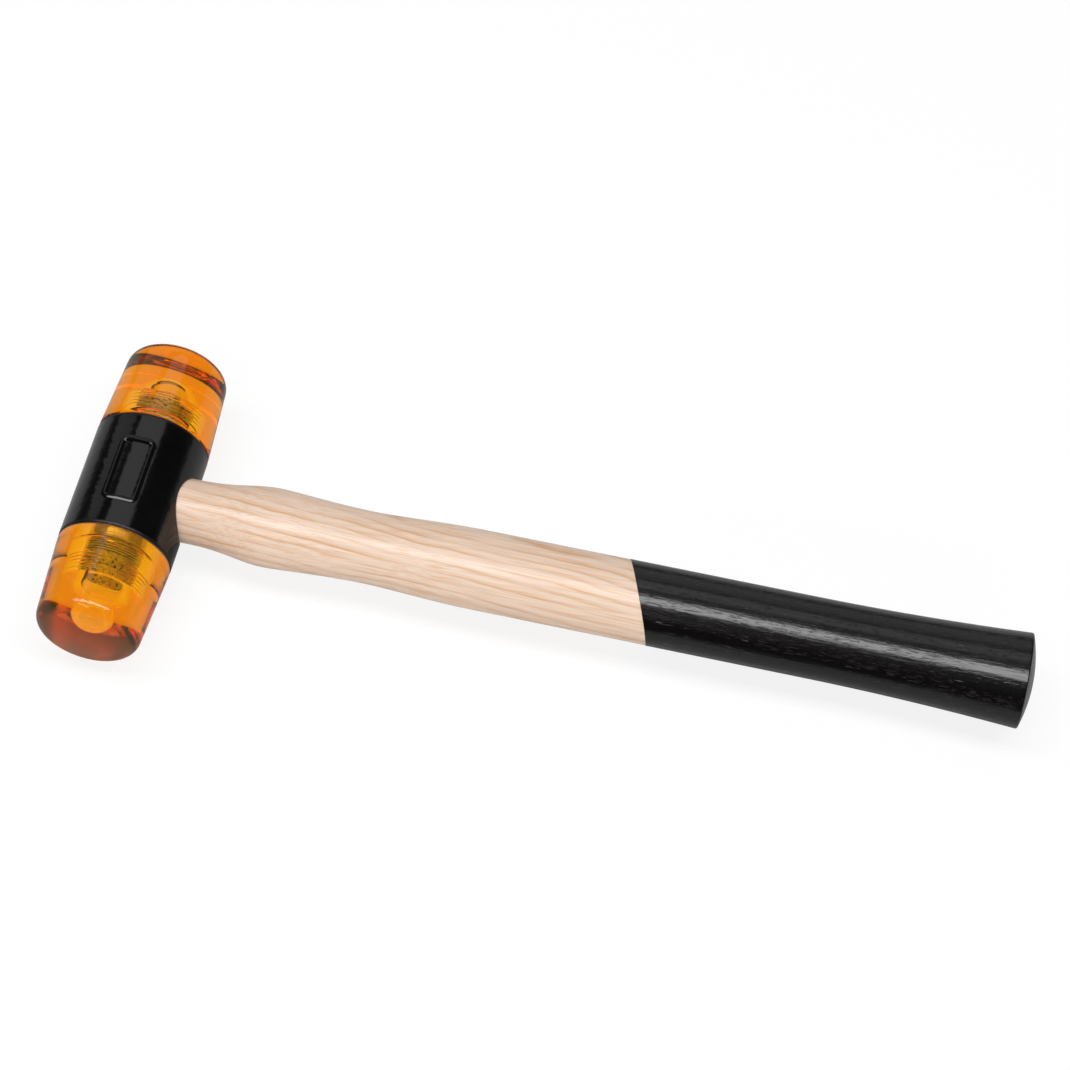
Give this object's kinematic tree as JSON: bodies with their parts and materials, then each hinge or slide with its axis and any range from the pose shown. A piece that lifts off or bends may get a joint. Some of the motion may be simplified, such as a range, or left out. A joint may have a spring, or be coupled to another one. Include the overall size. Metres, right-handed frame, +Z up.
{
  "type": "soft face hammer",
  "caption": "Soft-face hammer with a black cylindrical housing, clear amber screw-on striking faces and an oval ash handle lacquered black over the grip.",
  "frame": {"origin": "on the surface that the hammer lies on, under the middle of its length, on the handle's axis seen from above", "axes": "+X along the handle from the head to the butt, +Y along the head axis to the upper face, +Z up out of the side that carries the panel"},
  "size_m": [0.2912, 0.1024, 0.0353],
  "materials": {
    "black_lacquer": "thick gloss black lacquer over a cast surface",
    "stud_steel": "turned, lightly oiled",
    "amber_acetate": "clear amber cellulose acetate, polished",
    "ash": "clear gloss varnish",
    "grip_lacquer": "black gloss lacquer over open grain",
    "wedge_wood": "bare"
  },
  "bodies": {
    "head": {"head_housing": "black_lacquer", "handle": "ash", "grip_coat": "grip_lacquer", "wood_wedge": "wedge_wood"},
    "upper_spindle": {"upper_stud": "stud_steel"},
    "lower_spindle": {"lower_stud": "stud_steel"},
    "upper_striker": {"upper_face": "amber_acetate"},
    "lower_striker": {"lower_face": "amber_acetate"}
  },
  "joints": [
    {"name": "upper_turn", "type": "hinge", "parent": "head", "child": "upper_spindle", "pos_m": [-0.12811, 0, 0.0175], "axis": [0, 1, 0], "range_deg": [0, 1440]},
    {"name": "upper_draw", "type": "slide", "parent": "upper_spindle", "child": "upper_striker", "axis": [0, 1, 0], "range_m": [0, 0.005]},
    {"name": "lower_turn", "type": "hinge", "parent": "head", "child": "lower_spindle", "pos_m": [-0.12811, 0, 0.0175], "axis": [0, -1, 0], "range_deg": [0, 1440]},
    {"name": "lower_draw", "type": "slide", "parent": "lower_spindle", "child": "lower_striker", "axis": [0, -1, 0], "range_m": [0, 0.005]}
  ],
  "couplings": [
    {"joint": "upper_draw", "follows": "upper_turn", "m_per_rad": 0.0001989},
    {"joint": "lower_draw", "follows": "lower_turn", "m_per_rad": 0.0001989}
  ]
}
